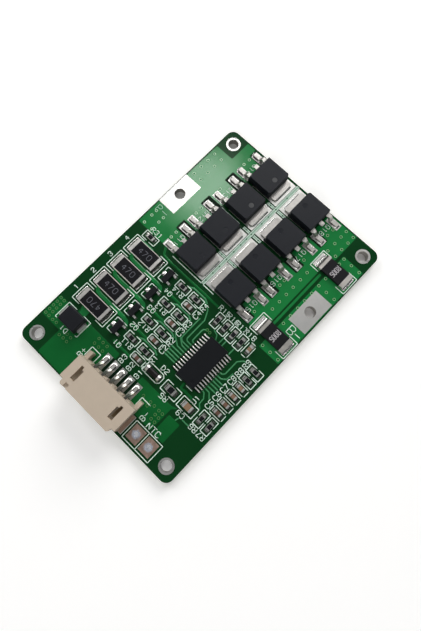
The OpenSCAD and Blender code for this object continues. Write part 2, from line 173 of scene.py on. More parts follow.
# ---- Bare board ----
# A plate of glass-epoxy laminate, routed to shape and drilled, with green solder mask cured
# on both faces. Where there is no copper beneath the mask, the board looks darkest.
def new_group(name, inputs, outputs, kind="ShaderNodeTree"):
    """An empty node group with those sockets, and its input and output nodes."""
    group = bpy.data.node_groups.new(name, kind)
    for side, sockets in (("INPUT", inputs), ("OUTPUT", outputs)):
        for label, (socket, value) in sockets.items():
            made = group.interface.new_socket(label, in_out=side, socket_type="NodeSocket" + socket)
            if value is not None:
                made.default_value = value
    return group, group.nodes.new("NodeGroupInput"), group.nodes.new("NodeGroupOutput")


unevenness, given, result = new_group(
    "unevenness",
    {"Color": ("Color", (1, 1, 1, 1)), "Tone Spread": ("Float", 0.1), "Roughness": ("Float", 0.5),
     "Gloss Spread": ("Float", 0.1), "Patch Size": ("Float", 0.002), "Grain Size": ("Float", 0.0001)},
    {"Color": ("Color", None), "Roughness": ("Float", None), "Height": ("Float", None)})
inputs = given.outputs
spot = put(unevenness, "ShaderNodeTexCoord").outputs["Object"]
patches, grains = [put(unevenness, "ShaderNodeTexNoise", {"Vector": spot, "Detail": detail,
                                                          "Scale": calc(unevenness, "DIVIDE", 1.0, inputs[size])})
                   for size, detail in (("Patch Size", 3.0), ("Grain Size", 2.0))]
spread = calc(unevenness, "ADD", patches.outputs["Fac"], -0.5)
tone = calc(unevenness, "MULTIPLY_ADD", spread, inputs["Tone Spread"], 1.0)
shade = out(unevenness, "ShaderNodeVectorMath", {0: inputs["Color"], "Scale": tone}, operation="SCALE")
gloss = calc(unevenness, "MULTIPLY_ADD", spread, inputs["Gloss Spread"], inputs["Roughness"], use_clamp=True)
for label, socket in (("Color", shade), ("Roughness", gloss), ("Height", grains.outputs["Fac"])):
    unevenness.links.new(socket, result.inputs[label])


def finish(name, color, roughness, metallic=0.0, specular=0.5, tone=0.2, gloss=0.1, patch=2.0, grain=0.1,
           relief=0.002, strength=0.3):
    """A material whose tone and gloss drift over its surface; patch, grain and relief are in mm."""
    made = bpy.data.materials.new(name)
    made.use_nodes = True
    shader = made.node_tree.nodes["Principled BSDF"]
    shader.inputs["Metallic"].default_value = metallic
    shader.inputs["Specular IOR Level"].default_value = specular
    uneven = put(made.node_tree, "ShaderNodeGroup", node_tree=unevenness)
    for socket, value in zip(uneven.inputs, ((*color, 1), tone, roughness, gloss, patch * MM, grain * MM)):
        socket.default_value = value
    bumps = {"Height": uneven.outputs["Height"], "Strength": strength, "Distance": relief * MM}
    for label, socket in (("Base Color", uneven.outputs["Color"]), ("Roughness", uneven.outputs["Roughness"]),
                          ("Normal", out(made.node_tree, "ShaderNodeBump", bumps))):
        made.node_tree.links.new(socket, shader.inputs[label])
    return made


def facing(tree, axis, low, high):
    """A mask that goes from 0 to 1 as the surface turns to face along an axis."""
    normal = put(tree, "ShaderNodeSeparateXYZ", {0: put(tree, "ShaderNodeNewGeometry").outputs["True Normal"]})
    return ramp(tree, calc(tree, "ABSOLUTE", normal.outputs[axis]), low, high)


def recolor(made, mask, low=None, high=None):
    """Mixes another colour into a material where a mask is low or where it is high."""
    tree = made.node_tree
    base = tree.nodes["Principled BSDF"].inputs["Base Color"]
    kept = base.links[0].from_socket
    ends = [kept if end is None else (*end, 1) if isinstance(end, tuple) else end for end in (low, high)]
    mixed = put(tree, "ShaderNodeMix", {0: mask, 6: ends[0], 7: ends[1]}, data_type="RGBA")
    tree.links.new(mixed.outputs[2], base)


def dress(material, *nodes):
    """Gives CAD nodes a material."""
    for name in nodes:
        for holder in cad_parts[name].material_slots:
            holder.material = material


laminate_green = finish("mask_on_laminate", (0.003, 0.043, 0.01), 0.18, specular=0.15, patch=6, grain=0.35,
                        relief=0.004, strength=0.25)
tree = laminate_green.node_tree
cloth = put(tree, "ShaderNodeTexWave", {"Vector": put(tree, "ShaderNodeTexCoord").outputs["Object"], "Scale": 1900.0,
                                        "Distortion": 2.0, "Detail": 2.0}, bands_direction="Z")
routed = put(tree, "ShaderNodeMix", {0: cloth.outputs["Fac"], 6: (0.16, 0.17, 0.06, 1), 7: (0.32, 0.33, 0.15, 1)},
             data_type="RGBA")
recolor(laminate_green, facing(tree, "Z", 0.5, 0.6), low=routed.outputs[2])
dress(laminate_green, "circuit_board")


# ---- Copper pours ----
# Wide areas of foil for the pack current, left on the laminate by etching and covered by the
# mask. They stand a hair over the bare board, and the metal beneath makes them look lighter.
def at(x, y, z=0.0):
    """The point x mm from the west edge and y mm from the north edge, z mm over the board."""
    return Vector((board_low.x + x * MM, board_high.y - y * MM, board_top + z * MM))


def plan_middle(node):
    """The middle of a node, in mm from the west and the north edge."""
    low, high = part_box(node)
    return ((low.x + high.x) / 2 - board_low.x) / MM, (board_high.y - (low.y + high.y) / 2) / MM


def rounded(points, radius):
    """The same closed outline, each corner turned into a short arc."""
    path = []
    for i, corner in enumerate(points):
        corner, before, after = Vector(corner), Vector(points[i - 1]), Vector(points[(i + 1) % len(points)])
        back, ahead = before - corner, after - corner
        reach = min(radius, 0.45 * back.length, 0.45 * ahead.length)
        start, end = corner + back.normalized() * reach, corner + ahead.normalized() * reach
        for step in range(5):
            t = step / 4
            path.append(tuple((1 - t) ** 2 * start + 2 * t * (1 - t) * corner + t * t * end))
    return path


def box_outline(x, y, to_x, to_y):
    """The corners of a rectangle."""
    return [(x, y), (to_x, y), (to_x, to_y), (x, to_y)]


def adopt(piece, material=None):
    """Puts a finished piece into the scene, on the board's body."""
    if piece.name not in scene.collection.objects:
        scene.collection.objects.link(piece)
    if material:
        piece.data.materials.clear()
        piece.data.materials.append(material)
    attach(piece, "root")
    return piece


def foil(name, outlines, height, material, round_by=0.3):
    """A flat piece on the board from closed outlines; an outline within another is a hole."""
    edge = 0.015
    curve = bpy.data.curves.new(name + "_outline", "CURVE")
    curve.dimensions, curve.fill_mode = "2D", "BOTH"
    curve.extrude = (height / 2 - edge) * MM
    curve.bevel_depth, curve.bevel_resolution, curve.offset = edge * MM, 1, -edge * MM
    for outline in outlines:
        path = rounded(outline, round_by)
        spline = curve.splines.new("POLY")
        spline.points.add(len(path) - 1)
        for point, (x, y) in zip(spline.points, path):
            spot = at(x, y)
            point.co = (spot.x, spot.y, 0, 1)
        spline.use_cyclic_u = True
    drawn = bpy.data.objects.new(name + "_outline", curve)
    scene.collection.objects.link(drawn)
    mesh = bpy.data.meshes.new_from_object(drawn.evaluated_get(bpy.context.evaluated_depsgraph_get()))
    bpy.data.objects.remove(drawn)
    mesh.transform(Matrix.Translation((0, 0, board_top + height / 2 * MM)))
    mesh.name = name
    return adopt(bpy.data.objects.new(name, mesh), material)


laminate_pour = finish("mask_on_copper", (0.003, 0.145, 0.028), 0.2, metallic=0.3, specular=0.4, tone=0.3, patch=5,
                       grain=0.3, relief=0.004, strength=0.3)
# The pours for the pack current get a lighter green than those on the west: painted light, for the brighter light over
# the east and south of the board.
power_pour = finish("mask_on_copper_painted_lighter", (0.007, 0.195, 0.042), 0.14, metallic=0.03, specular=0.45, tone=0.3,
                    patch=5, grain=0.3, relief=0.004, strength=0.3)
pour_height = 0.036
upper_gates = [(36.1, 38.5), (43.3, 45.8), (50.4, 52.9)]
lower_gates = [(38.6, 41.0), (45.8, 48.2), (53.0, 55.2)]


def notches(gates, mouth, root):
    """The edge points of a notch round each gate land, from east to west."""
    return [p for start, end in reversed(gates) for p in ((end, mouth), (end, root), (start, root), (start, mouth))]


def wire_hole(node, radius=1.5):
    """A clear ring in a pour round the hole of a wire pad."""
    x, y = plan_middle(node)
    return [(x + radius * math.cos(math.pi * k / 12), y + radius * math.sin(math.pi * k / 12)) for k in range(24)]


pack_outline = [(32, 10.2), (32, 0.3), (54.9, 0.3), (54.9, 4.6), (59.7, 4.6), (59.7, 6.7), (57.8, 6.7), (57.8, 10.2)]
drain_outline = [(33.9, 27), (33.9, 30.4), (32, 30.4), (32, 33.3), (53, 33.3), (53, 34.1), (59.7, 34.1), (59.7, 27)]
for name, outlines in (
        ("pack_pour", [wire_hole("pack_terminal_pad"), pack_outline + notches(upper_gates, 10.2, 6.7)]),
        ("drain_pour", [drain_outline + notches(lower_gates, 27, 30.4)]),
        ("battery_pour", [wire_hole("battery_terminal_pad"), box_outline(30.2, 34.8, 54.9, 39.7)])):
    foil(name, outlines, pour_height, power_pour)
foil("sense_band", [box_outline(35.2, 33.65, 49, 34.15)], pour_height, power_pour, 0.2)
for name, outline in (
        ("cell_stack_pour", [(5.8, 0.3), (10.7, 0.3), (10.7, 5.1), (12.1, 5.1), (12.1, 6.9), (10.7, 6.9), (10.7, 16.9),
                             (0.3, 16.9), (0.3, 5.2), (5.8, 5.2)]),
        ("ground_pour", [(4.9, 23), (10.7, 23), (10.7, 30.6), (11.1, 31.9), (10.2, 31), (4.9, 31)]),
        ("spare_pour", box_outline(4.8, 31.5, 9.3, 34.2))):
    foil(name, [outline], pour_height, laminate_pour)

# Near-black strips between the lands of the socket, the gate leads and the controller: painted shade; under the
# controller's leads they also stand for the mask left open there.
gap_shade = finish("painted_shade_between_lands", (0.002, 0.014, 0.005), 0.4, specular=0.08, tone=0.4, patch=1)
foil("socket_land_gaps", [box_outline(6.1, y - 0.27, 9.4, y + 0.27) for y in (16.8, 18.8, 20.8, 22.8)], 0.045,
     gap_shade, 0.1)
foil("gate_land_gaps", [box_outline(start + 0.05, y, end - 0.05, y + 3.3)
                        for gates, y in ((upper_gates, 6.8), (lower_gates, 27.05)) for start, end in gates]
     + [box_outline(31.85, 27.05, 33.75, 30.35)], 0.03, gap_shade, 0.1)
foil("clamp_feed", [[(10.75, 5.4), (11.4, 5.4), (11.9, 4.9), (12.3, 4.9), (12.3, 6.9), (10.75, 6.9)]], 0.042,
     power_pour)
foil("clamp_land_cover", [box_outline(7.8, 8.3, 10.3, 9.0)], 0.054, laminate_pour, 0.1)
foil("controller_land_gaps", [box_outline(15.75, y, 24.8, y + 1.55) for y in (25.5, 31.15)], 0.045, gap_shade, 0.1)

# The bar between the transistor rows, and the rims of its small vias, are a pale grey-green.
pale_mask = finish("pale_mask_on_bar", (0.36, 0.52, 0.41), 0.35, metallic=0.2, specular=0.3, tone=0.5, patch=2)
tab_gaps = [(plan_middle(f"mosfet_{i}")[0] + plan_middle(f"mosfet_{i + 1}")[0]) / 2 for i in (1, 2, 3)]
foil("drain_bar", [box_outline(31.5, 18.2, 59.8, 18.95)], pour_height, pale_mask, 0.2)
for i, x in enumerate(tab_gaps):
    for part, y, to_y in (("arm", 16.4, 18.1), ("leg", 19.05, 21.1)):
        foil(f"drain_bar_{part}_{i + 1}", [box_outline(x - 0.28, y, x + 0.28, to_y)], pour_height, pale_mask, 0.2)


# ---- Tracks ----
# Narrow strips of the same foil between the parts, etched with rounded bends and covered by
# the mask, so each one reads as a soft ridge.
def grow(name, points, edges, maker, values):
    """Points and edges, given a body by a Geometry Nodes tree, as a plain mesh piece."""
    mesh = bpy.data.meshes.new(name)
    mesh.from_pydata(points, edges, [])
    piece = bpy.data.objects.new(name, mesh)
    scene.collection.objects.link(piece)
    grown = piece.modifiers.new(name, "NODES")
    grown.node_group = maker
    for socket in maker.interface.items_tree:
        if socket.in_out == "INPUT" and socket.name in values:
            grown[socket.identifier] = values[socket.name]
    piece.data = bpy.data.meshes.new_from_object(piece.evaluated_get(bpy.context.evaluated_depsgraph_get()))
    piece.modifiers.clear()
    piece.data.name = name
    return adopt(piece)


def grow_paths(name, paths, maker, width, height, bend, material):
    """Open paths of points, swept by a tree; sizes in mm."""
    points, edges = [], []
    for path in paths:
        edges += [(len(points) + i, len(points) + i + 1) for i in range(len(path) - 1)]
        points += path
    return grow(name, points, edges, maker, {"Width": width * MM, "Height": height * MM, "Bend": bend * MM,
                                             "Material": material})


def join(tree, *shapes):
    """Several shapes as one."""
    joined = tree.nodes.new("GeometryNodeJoinGeometry")
    for shape in shapes:
        tree.links.new(shape, joined.inputs[0])
    return joined.outputs[0]


def path_tree(name, profile_maker):
    """Paths with filleted bends, swept by a profile, with a round pad at each end."""
    tree, given, result = new_group(
        name, {"Geometry": ("Geometry", None), "Width": ("Float", 0.0002), "Height": ("Float", 0.00003),
               "Bend": ("Float", 0.0003), "Material": ("Material", None)}, {"Geometry": ("Geometry", None)},
        "GeometryNodeTree")
    size = given.outputs
    line = out(tree, "GeometryNodeMeshToCurve", {"Mesh": size["Geometry"]})
    line = out(tree, "GeometryNodeFilletCurve", {"Curve": line, "Radius": size["Bend"], "Limit Radius": True,
                                                 "Count": 4}, mode="POLY")
    line = out(tree, "GeometryNodeSetCurveNormal", {"Curve": line}, mode="Z_UP")
    profile, end_cap = profile_maker(tree, size)
    swept = out(tree, "GeometryNodeCurveToMesh", {"Curve": line, "Profile Curve": profile, "Fill Caps": True})
    tips = out(tree, "GeometryNodeCurveEndpointSelection")
    caps = out(tree, "GeometryNodeInstanceOnPoints", {"Points": line, "Selection": tips, "Instance": end_cap})
    solid = out(tree, "GeometryNodeRealizeInstances", {0: join(tree, swept, caps)})
    coated = out(tree, "GeometryNodeSetMaterial", {"Geometry": solid, "Material": size["Material"]})
    tree.links.new(coated, result.inputs[0])
    return tree


def ridge(tree, size):
    """An ellipse as wide as the track and twice as high, half of it within the board."""
    doubled = calc(tree, "MULTIPLY", size["Height"], 2.0)
    ring = out(tree, "GeometryNodeCurvePrimitiveCircle", {"Resolution": 12, "Radius": 0.5})
    lump = out(tree, "GeometryNodeMeshUVSphere", {"Segments": 12, "Rings": 6, "Radius": 0.5})
    flat = out(tree, "ShaderNodeCombineXYZ", {0: size["Width"], 1: doubled, 2: 1.0})
    full = out(tree, "ShaderNodeCombineXYZ", {0: size["Width"], 1: size["Width"], 2: doubled})
    return [out(tree, "GeometryNodeTransform", {"Geometry": shape, "Scale": scale})
            for shape, scale in ((ring, flat), (lump, full))]


def stroke(tree, size):
    """A flat strip as wide and as thick as the ink."""
    half = calc(tree, "MULTIPLY", size["Width"], 0.5)
    return (out(tree, "GeometryNodeCurvePrimitiveQuadrilateral", {"Width": size["Width"], "Height": size["Height"]}),
            out(tree, "GeometryNodeMeshCylinder", {"Vertices": 8, "Radius": half, "Depth": size["Height"]}))


track_tree = path_tree("etched_track", ridge)
ink_tree = path_tree("printed_line", stroke)


def lay_tracks(name, width, paths, material=laminate_pour):
    grow_paths(name, [[at(x, y) for x, y in path] for path in paths], track_tree, width, 0.03, 0.4,
               material)


# The fine tracks are a lighter green than the pours: partly the thinner mask over them, partly a painted sheen along
# their ridges.
fine_track = finish("thin_mask_and_painted_sheen_on_track", (0.055, 0.28, 0.11), 0.25, metallic=0.2, tone=0.3, patch=3)
balance_x = [plan_middle(f"balance_resistor_{i}")[0] for i in (1, 2, 3, 4)]
lay_tracks("balance_tracks", 0.8,
           [[(x + 2.9, 4.3), (x + 2.3, 5), (x + 2.2, 6), (x + 2.2, 12), (x + 2.1, 13.2), (x + 1.0, 13.9)]
            for x in balance_x[:3]], power_pour)
lay_tracks("channel_tracks", 0.5,
           [[(x - 2.25, 14.3), (x - 2.25, 18.4)] for x in balance_x]
           + [[(15.2, 29.5), (14.1, 29.6), (14.4, 30.5), (14.3, 32.3)],
              [(31.9, 8.2), (30.5, 9), (30.3, 10), (30.3, 24.5)]])
lay_tracks("filter_tracks", 0.3,
           [[(x + 1.35, 17.1), (x + 1.9, 18), (x + 1.9, 21.2), (x + 1.5, 22)] for x in balance_x], fine_track)
lay_tracks("controller_tracks", 0.25,
           [[(x, 22.8), (x, 25.4)] for x in (16.8, 17.4, 18.05, 18.75)]
           + [[(19.4, 25.4), (19.45, 23.6), (20.4, 22.2), (21.0, 21.6)], [(20.05, 25.4), (20.1, 24.2), (21.0, 22.9)],
              [(20.7, 25.4), (20.7, 23.6), (21.2, 23.05), (26.2, 23.05)],
              [(21.35, 25.4), (21.4, 24.3), (21.7, 23.95), (26.6, 23.95), (28.5, 23.0), (29.3, 21.3)],
              [(22.0, 25.4), (22.1, 24.95), (25.1, 24.95), (25.6, 25.6)],
              [(25.3, 28.1), (26.2, 27.6), (26.5, 26.6)], [(25.1, 28.95), (26.6, 28.95)], [(25.1, 29.7), (26.6, 29.7)],
              [(25.1, 31.75), (26.6, 31.75)],
              [(16.75, 32.6), (16.7, 33.3), (15.8, 34.05), (14.6, 34.1), (14.0, 34.8)],
              [(17.4, 32.6), (17.35, 34.0), (16.4, 34.9)]]
           + [[(x, 32.6), (x, 34.8)] for x in (18.05, 18.75, 19.4, 20.05)]
           + [[(20.7, 32.6), (20.7, 33.9), (21.4, 34.7), (22.9, 34.85)],
              [(21.35, 32.6), (21.5, 33.5), (22.0, 33.8), (25.1, 33.8), (26.1, 34.6), (26.15, 35)],
              [(10.3, 33.9), (10.3, 35.4)], [(9.4, 33.0), (10.1, 33.2)],
              [(29.6, 3.4), (29.6, 6.8)]], fine_track)


# ---- Vias ----
# Small plated holes that carry current and heat between the faces. The mask covers their
# rings and leaves the drilled centre dark.
tree, given, result = new_group(
    "plated_via", {"Geometry": ("Geometry", None), "Ring Radius": ("Float", 0.0003), "Hole Radius": ("Float", 0.00015),
                   "Height": ("Float", 0.00004), "Ring Material": ("Material", None),
                   "Hole Material": ("Material", None)},
    {"Geometry": ("Geometry", None)}, "GeometryNodeTree")
size = given.outputs
middle = calc(tree, "MULTIPLY", calc(tree, "ADD", size["Ring Radius"], size["Hole Radius"]), 0.5)
wall = calc(tree, "SUBTRACT", size["Ring Radius"], size["Hole Radius"])
loop = out(tree, "GeometryNodeCurvePrimitiveCircle", {"Resolution": 16, "Radius": middle})
oval = ridge(tree, {"Width": wall, "Height": size["Height"]})[0]
ring = out(tree, "GeometryNodeCurveToMesh", {"Curve": loop, "Profile Curve": oval})
ring = out(tree, "GeometryNodeSetMaterial", {"Geometry": ring, "Material": size["Ring Material"]})
sunk = calc(tree, "MULTIPLY", size["Height"], 0.55)
hole = out(tree, "GeometryNodeMeshCylinder", {"Vertices": 12, "Radius": middle, "Depth": sunk})
hole = out(tree, "GeometryNodeSetMaterial", {"Geometry": hole, "Material": size["Hole Material"]})
rise = out(tree, "ShaderNodeCombineXYZ", {2: calc(tree, "MULTIPLY", sunk, 0.5)})
hole = out(tree, "GeometryNodeTransform", {"Geometry": hole, "Translation": rise})
spots = out(tree, "GeometryNodeMeshToPoints", {"Mesh": size["Geometry"]})
placed = out(tree, "GeometryNodeInstanceOnPoints", {"Points": spots, "Instance": join(tree, ring, hole)})
tree.links.new(out(tree, "GeometryNodeRealizeInstances", {0: placed}), result.inputs[0])
via_tree = tree

via_dark = finish("masked_hole", (0.005, 0.1, 0.025), 0.5, specular=0.1)
dim_rim = finish("mask_on_rim", (0.1, 0.24, 0.07), 0.35, specular=0.3, tone=0.5, patch=1)
via_rim = finish("mask_thin_on_rim", (0.36, 0.62, 0.33), 0.35, metallic=0.2, specular=0.3, tone=0.7, patch=1)
# The rims and holes of the vias in the pack pour are painted paler than the others: painted sheen, where the overhead
# lamp's sheen lies on that pour.
pack_rim = finish("mask_on_rim_painted_sheen", (0.75, 0.97, 0.72), 0.35, metallic=0.2, specular=0.3, tone=0.5, patch=1)
pack_hole = finish("masked_hole_painted_sheen", (0.03, 0.2, 0.08), 0.4, specular=0.2)
via_kinds = {  # ring radius, hole radius, ring and hole material
    "dim": (0.31, 0.2, dim_rim, via_dark), "clear": (0.31, 0.2, via_rim, via_dark),
    "paler": (0.31, 0.2, pack_rim, pack_hole), "small": (0.2, 0.13, pale_mask, via_dark)}
bar_via_x = (32.5, 34.5, 36.4, 38.4, 40.5, 42.5, 44.2, 45.6, 48.7, 50.7, 52.9, 56.3)
via_grid = {
    "cell_stack_vias": ("dim", [(x, y) for x in (6.35, 7.35, 8.35, 9.35, 10.35) for y in (0.75, 1.65)]
                        + [(6.3, 2.75), (6.4, 3.7), (5.2, 5.85), (5.3, 6.85), (5.25, 7.85), (6.3, 6.9), (6.3, 7.85)]
                        + [(x, y) for x in (8.8, 10.0) for y in (11.9, 13.0, 14.1)]),
    "ground_vias": ("dim", [(8.4, 25.6), (7.6, 27.4), (8.5, 27.4), (8.5, 28.4)]
                    + [(x, y) for x in (6.45, 7.5, 8.5) for y in (29.6, 30.5)] + [(25.6, 25.6), (25.55, 26.3)]),
    "pack_vias": ("paler", [(32.6, 1.35), (34.7, 1.35), (36.0, 1.35), (32.6, 3.45), (34.6, 3.45), (35.9, 3.45),
                           (34.1, 7.45), (35.5, 7.45), (41.2, 7.5), (42.7, 7.5), (48.3, 7.4), (55.7, 7.2), (57.2, 7.3)]
                  + [(x, y) for x in (47.1, 49.2, 51.2, 53.2) for y in (1.2, 3.1)]),
    "drain_vias": ("clear", [(x, 29.65) for x in (34.5, 41.8, 43.1, 48.9, 56, 57.6)]
                   + [(x, 31.8) for x in (37.3, 39.3, 41.3, 43.3, 45.4, 47.4, 53.6, 55.7, 57.6, 59.2)]
                   + [(x, 33.6) for x in (53.8, 55.7, 57.6, 59.2)]),
    "battery_vias": ("clear", [(x, 35.2) for x in (30.8, 36.7, 38.7, 40.8, 42.8, 44.9, 47.0, 49.0, 53.1, 54.5)]
                     + [(x, y) for x in (30.8, 47.0, 54.5) for y in (37.1, 39.1)]),
    "drain_bar_vias": ("small", [(x, 18.58) for x in bar_via_x] + [(x, y) for x in tab_gaps for y in (17.2, 20.4)])}
for name, (kind, spots) in via_grid.items():
    ring_radius, hole_radius, rim, hole_mask = via_kinds[kind]
    grow(name, [at(x, y) for x, y in spots], [], via_tree,
         {"Ring Radius": ring_radius * MM, "Hole Radius": hole_radius * MM, "Height": 0.075 * MM, "Ring Material": rim,
          "Hole Material": hole_mask})


# ---- Plated holes, pads and lands ----
# Bare copper dipped in tin: rings round the mounting holes, the two big wire pads, the
# thermistor pads and the lands under every part. Each hole has a thin plated wall.
tin = finish("hot_tin", (0.78, 0.77, 0.74), 0.3, metallic=1.0, tone=0.12, gloss=0.25, patch=1.2, grain=0.25,
             relief=0.01, strength=0.5)
# A darker, rougher copy of the tin, for the battery pad and the shunt land rims.
dull_tin = finish("dull_darker_tin", (0.7, 0.69, 0.67), 0.4, metallic=1.0, tone=0.1, gloss=0.12, patch=0.6, grain=0.2,
                  relief=0.01, strength=0.5)
bare_copper = finish("fluxed_copper", (0.4, 0.28, 0.21), 0.45, metallic=0.7, tone=0.5, gloss=0.3, patch=0.8,
                     grain=0.15, relief=0.01, strength=0.5)
wetted_land = finish("wetted_land", (0.68, 0.68, 0.65), 0.34, metallic=1.0, tone=0.25, gloss=0.3, patch=0.8,
                     grain=0.6, relief=0.02, strength=1.0)


def painted_shade_band(made, start, end, shade_color, axis="X"):
    """Darkens a metal with painted shade between two lines in mm from the west or the north edge."""
    tree, middle, half, blur = made.node_tree, (start + end) / 2, (end - start) / 2, 0.1
    line = at(middle, 0).x if axis == "X" else at(0, middle).y
    away = calc(tree, "ABSOLUTE", calc(tree, "SUBTRACT", place(tree)[axis], line))
    recolor(made, ramp(tree, away, (half - blur) * MM, (half + blur) * MM), low=shade_color)


# The chip lands between 10.5 and 31.3 mm from the west edge are painted dark: painted shade, for the dark that the
# steep solder there mirrors.
painted_shade_band(wetted_land, 10.5, 31.3, (0.07, 0.1, 0.07))
dress(tin, "mounting_hole_plating", "pack_terminal_pad")
dress(wetted_land, "component_lands")
dress(dull_tin, "battery_terminal_pad")
foil("shunt_land_rims", [box_outline(x, 31.35, x + 3.2, 32.2) for x in (32.0, 49.5)], 0.052, dull_tin, 0.1)

# The plated walls are painted dark, so the holes look shaded: painted shade.
wall_tin = finish("hole_wall_tin", (0.35, 0.34, 0.32), 0.4, metallic=1.0, tone=0.3, gloss=0.3, patch=0.8)


def build(name, points, faces, material, smooth=True):
    """A mesh piece from its points and faces."""
    mesh = bpy.data.meshes.new(name)
    mesh.from_pydata(points, [], faces)
    if smooth:
        mesh.shade_smooth()
    return adopt(bpy.data.objects.new(name, mesh), material)


def barrels(name, centres, radius, material=wall_tin):
    """A thin plated wall inside each hole, a little short of both faces."""
    sides, play, plating, points, faces = 32, 0.005, 0.03, [], []
    for x, y in (centre[:2] for centre in centres):
        first = len(points)
        for z, wall in ((0.06 * MM, radius - play), (board_top - 0.002 * MM, radius - play),
                        (board_top - 0.002 * MM, radius - play - plating), (0.06 * MM, radius - play - plating)):
            points += [(x + wall * MM * math.cos(2 * math.pi * i / sides),
                        y + wall * MM * math.sin(2 * math.pi * i / sides), z) for i in range(sides)]
        for ring in range(4):
            low, high = first + ring * sides, first + (ring + 1) % 4 * sides
            faces += [(low + i, low + (i + 1) % sides, high + (i + 1) % sides, high + i) for i in range(sides)]
    build(name, points, faces, material, smooth=False)


# A lighter copy for the south-east mounting hole and the battery wire hole, with less painted shade.
lighter_wall_tin = finish("lighter_hole_wall_tin", (0.52, 0.5, 0.475), 0.45, metallic=1.0, tone=0.3, gloss=0.3, patch=0.8)
ring_low, ring_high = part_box("mounting_hole_plating")
ring_radius, screw_hole_radius, wire_hole_radius = 1.5 * MM, 1.1, 1.15
screw_holes = [(x, y) for x in (ring_low.x + ring_radius, ring_high.x - ring_radius)
               for y in (ring_low.y + ring_radius, ring_high.y - ring_radius)]
lighter_hole = screw_holes.pop(2)  # the south-east one
barrels("mounting_hole_walls", screw_holes, screw_hole_radius)
barrels("lighter_mounting_hole_wall", [lighter_hole], screw_hole_radius, lighter_wall_tin)
for name, node, material in (("pack_wire_hole_wall", "pack_terminal_pad", wall_tin),
                             ("battery_wire_hole_wall", "battery_terminal_pad", lighter_wall_tin)):
    corner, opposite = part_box(node)
    barrels(name, [(corner + opposite) / 2], wire_hole_radius, material)

pad_low, pad_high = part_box("thermistor_pads")
pad_half = 1.3 * MM
pad_x, pad_y = (pad_low.x + pad_high.x) / 2, (pad_low.y + pad_half, pad_high.y - pad_half)
thermistor_finish = finish("half_tinned_copper", (0.4, 0.28, 0.225), 0.45, metallic=0.7, tone=1.0, gloss=0.3,
                           patch=0.5, grain=0.2, relief=0.02, strength=0.6)
tree = thermistor_finish.node_tree
spot = put(tree, "ShaderNodeTexCoord").outputs["Object"]
near = [put(tree, "ShaderNodeVectorMath", {0: spot, 1: (pad_x, y, pad_high.z)}, operation="DISTANCE").outputs["Value"]
        for y in pad_y]
ragged = put(tree, "ShaderNodeTexNoise", {"Vector": spot, "Scale": 2500.0}).outputs["Fac"]
reach = calc(tree, "MULTIPLY_ADD", ragged, -0.7 * MM, calc(tree, "MINIMUM", *near))
recolor(thermistor_finish, ramp(tree, reach, 0.3 * MM, 0.62 * MM), low=(0.55, 0.58, 0.66))
dress(thermistor_finish, "thermistor_pads")
wire_tin = finish("wire_hole_tin", (0.86, 0.89, 0.96), 0.3, metallic=1.0, tone=0.2, gloss=0.3, patch=0.4)
barrels("thermistor_hole_walls", [(pad_x, y) for y in pad_y], 0.5, wire_tin)


# ---- Solder ----
# Paste that melted in the oven and pulled up each terminal in a bright, slightly lumpy
# hollow curve.
solder = finish("reflowed_solder", (0.8, 0.79, 0.77), 0.18, metallic=1.0, tone=0.2, gloss=0.25, patch=0.5, grain=0.12,
                relief=0.02, strength=0.7)
fillet_solder = finish("oven_solder", (0.8, 0.79, 0.77), 0.2, metallic=1.0, tone=0.2, gloss=0.25, patch=0.5,
                       grain=0.15, relief=0.008, strength=0.6)
# The solder in the same band is painted darker: painted shade.
painted_shade_band(fillet_solder, 10.5, 31.3, (0.16, 0.17, 0.15))
dress(fillet_solder, "solder_joints")
# A dark band round the top of the solder, next to the foot: painted shade in the corner.
painted_corner_shade = finish("painted_corner_shade", (0.035, 0.03, 0.025), 0.35, tone=0.4, patch=0.4)


def meniscus(name, feet, land, foot, height, dark_rings=0):
    """Solder that climbs from a land to a lead's foot, with painted shade in the corner; land and foot are half sides
    in mm.
    """
    sides, rings, points, faces = 24, 5, [], []
    for centre in feet:
        first = len(points)
        for ring in range(rings + 1):
            t = ring / rings
            half = [(1 - t) * land[axis] + t * foot[axis] for axis in (0, 1)]
            for i in range(sides):
                turn = 2 * math.pi * i / sides
                swell = [math.copysign(abs(value) ** 0.6, value) for value in (math.cos(turn), math.sin(turn))]
                points.append((centre[0] + half[0] * swell[0] * MM, centre[1] + half[1] * swell[1] * MM,
                               board_top + (0.05 + height * t * t) * MM))
        for ring in range(rings):
            low, high = first + ring * sides, first + (ring + 1) * sides
            faces += [(low + i, low + (i + 1) % sides, high + (i + 1) % sides, high + i) for i in range(sides)]
        faces.append(tuple(first + rings * sides + i for i in range(sides)))
        faces.append(tuple(first + i for i in reversed(range(sides))))
    mesh = build(name, points, faces, solder).data
    if dark_rings:
        mesh.materials.append(painted_corner_shade)
        per_foot = rings * sides + 2
        for face in mesh.polygons:
            face.material_index = int((rings - dark_rings) * sides <= face.index % per_foot < rings * sides)


lead_offset, lead_back = 2.285 * MM, 0.85 * MM
lead_feet = []
for i in range(1, 9):
    low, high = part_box(f"mosfet_lead_frame_{i}")
    tip_y, inward = (high.y, -1) if i < 5 else (low.y, 1)
    lead_feet += [((low.x + high.x) / 2 + side * lead_offset, tip_y + inward * lead_back) for side in (-1, 1)]
meniscus("transistor_solder", lead_feet, (0.66, 1.15), (0.39, 0.87), 0.24, 2)

low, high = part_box("socket_contacts")
foot_x, pin_half, pin_pitch = high.x - 0.6 * MM, 0.25 * MM, (high.y - low.y - 0.5 * MM) / 4
meniscus("socket_solder", [(foot_x, low.y + pin_half + i * pin_pitch) for i in range(5)], (1.05, 0.66), (0.6, 0.25),
         0.3, 2)

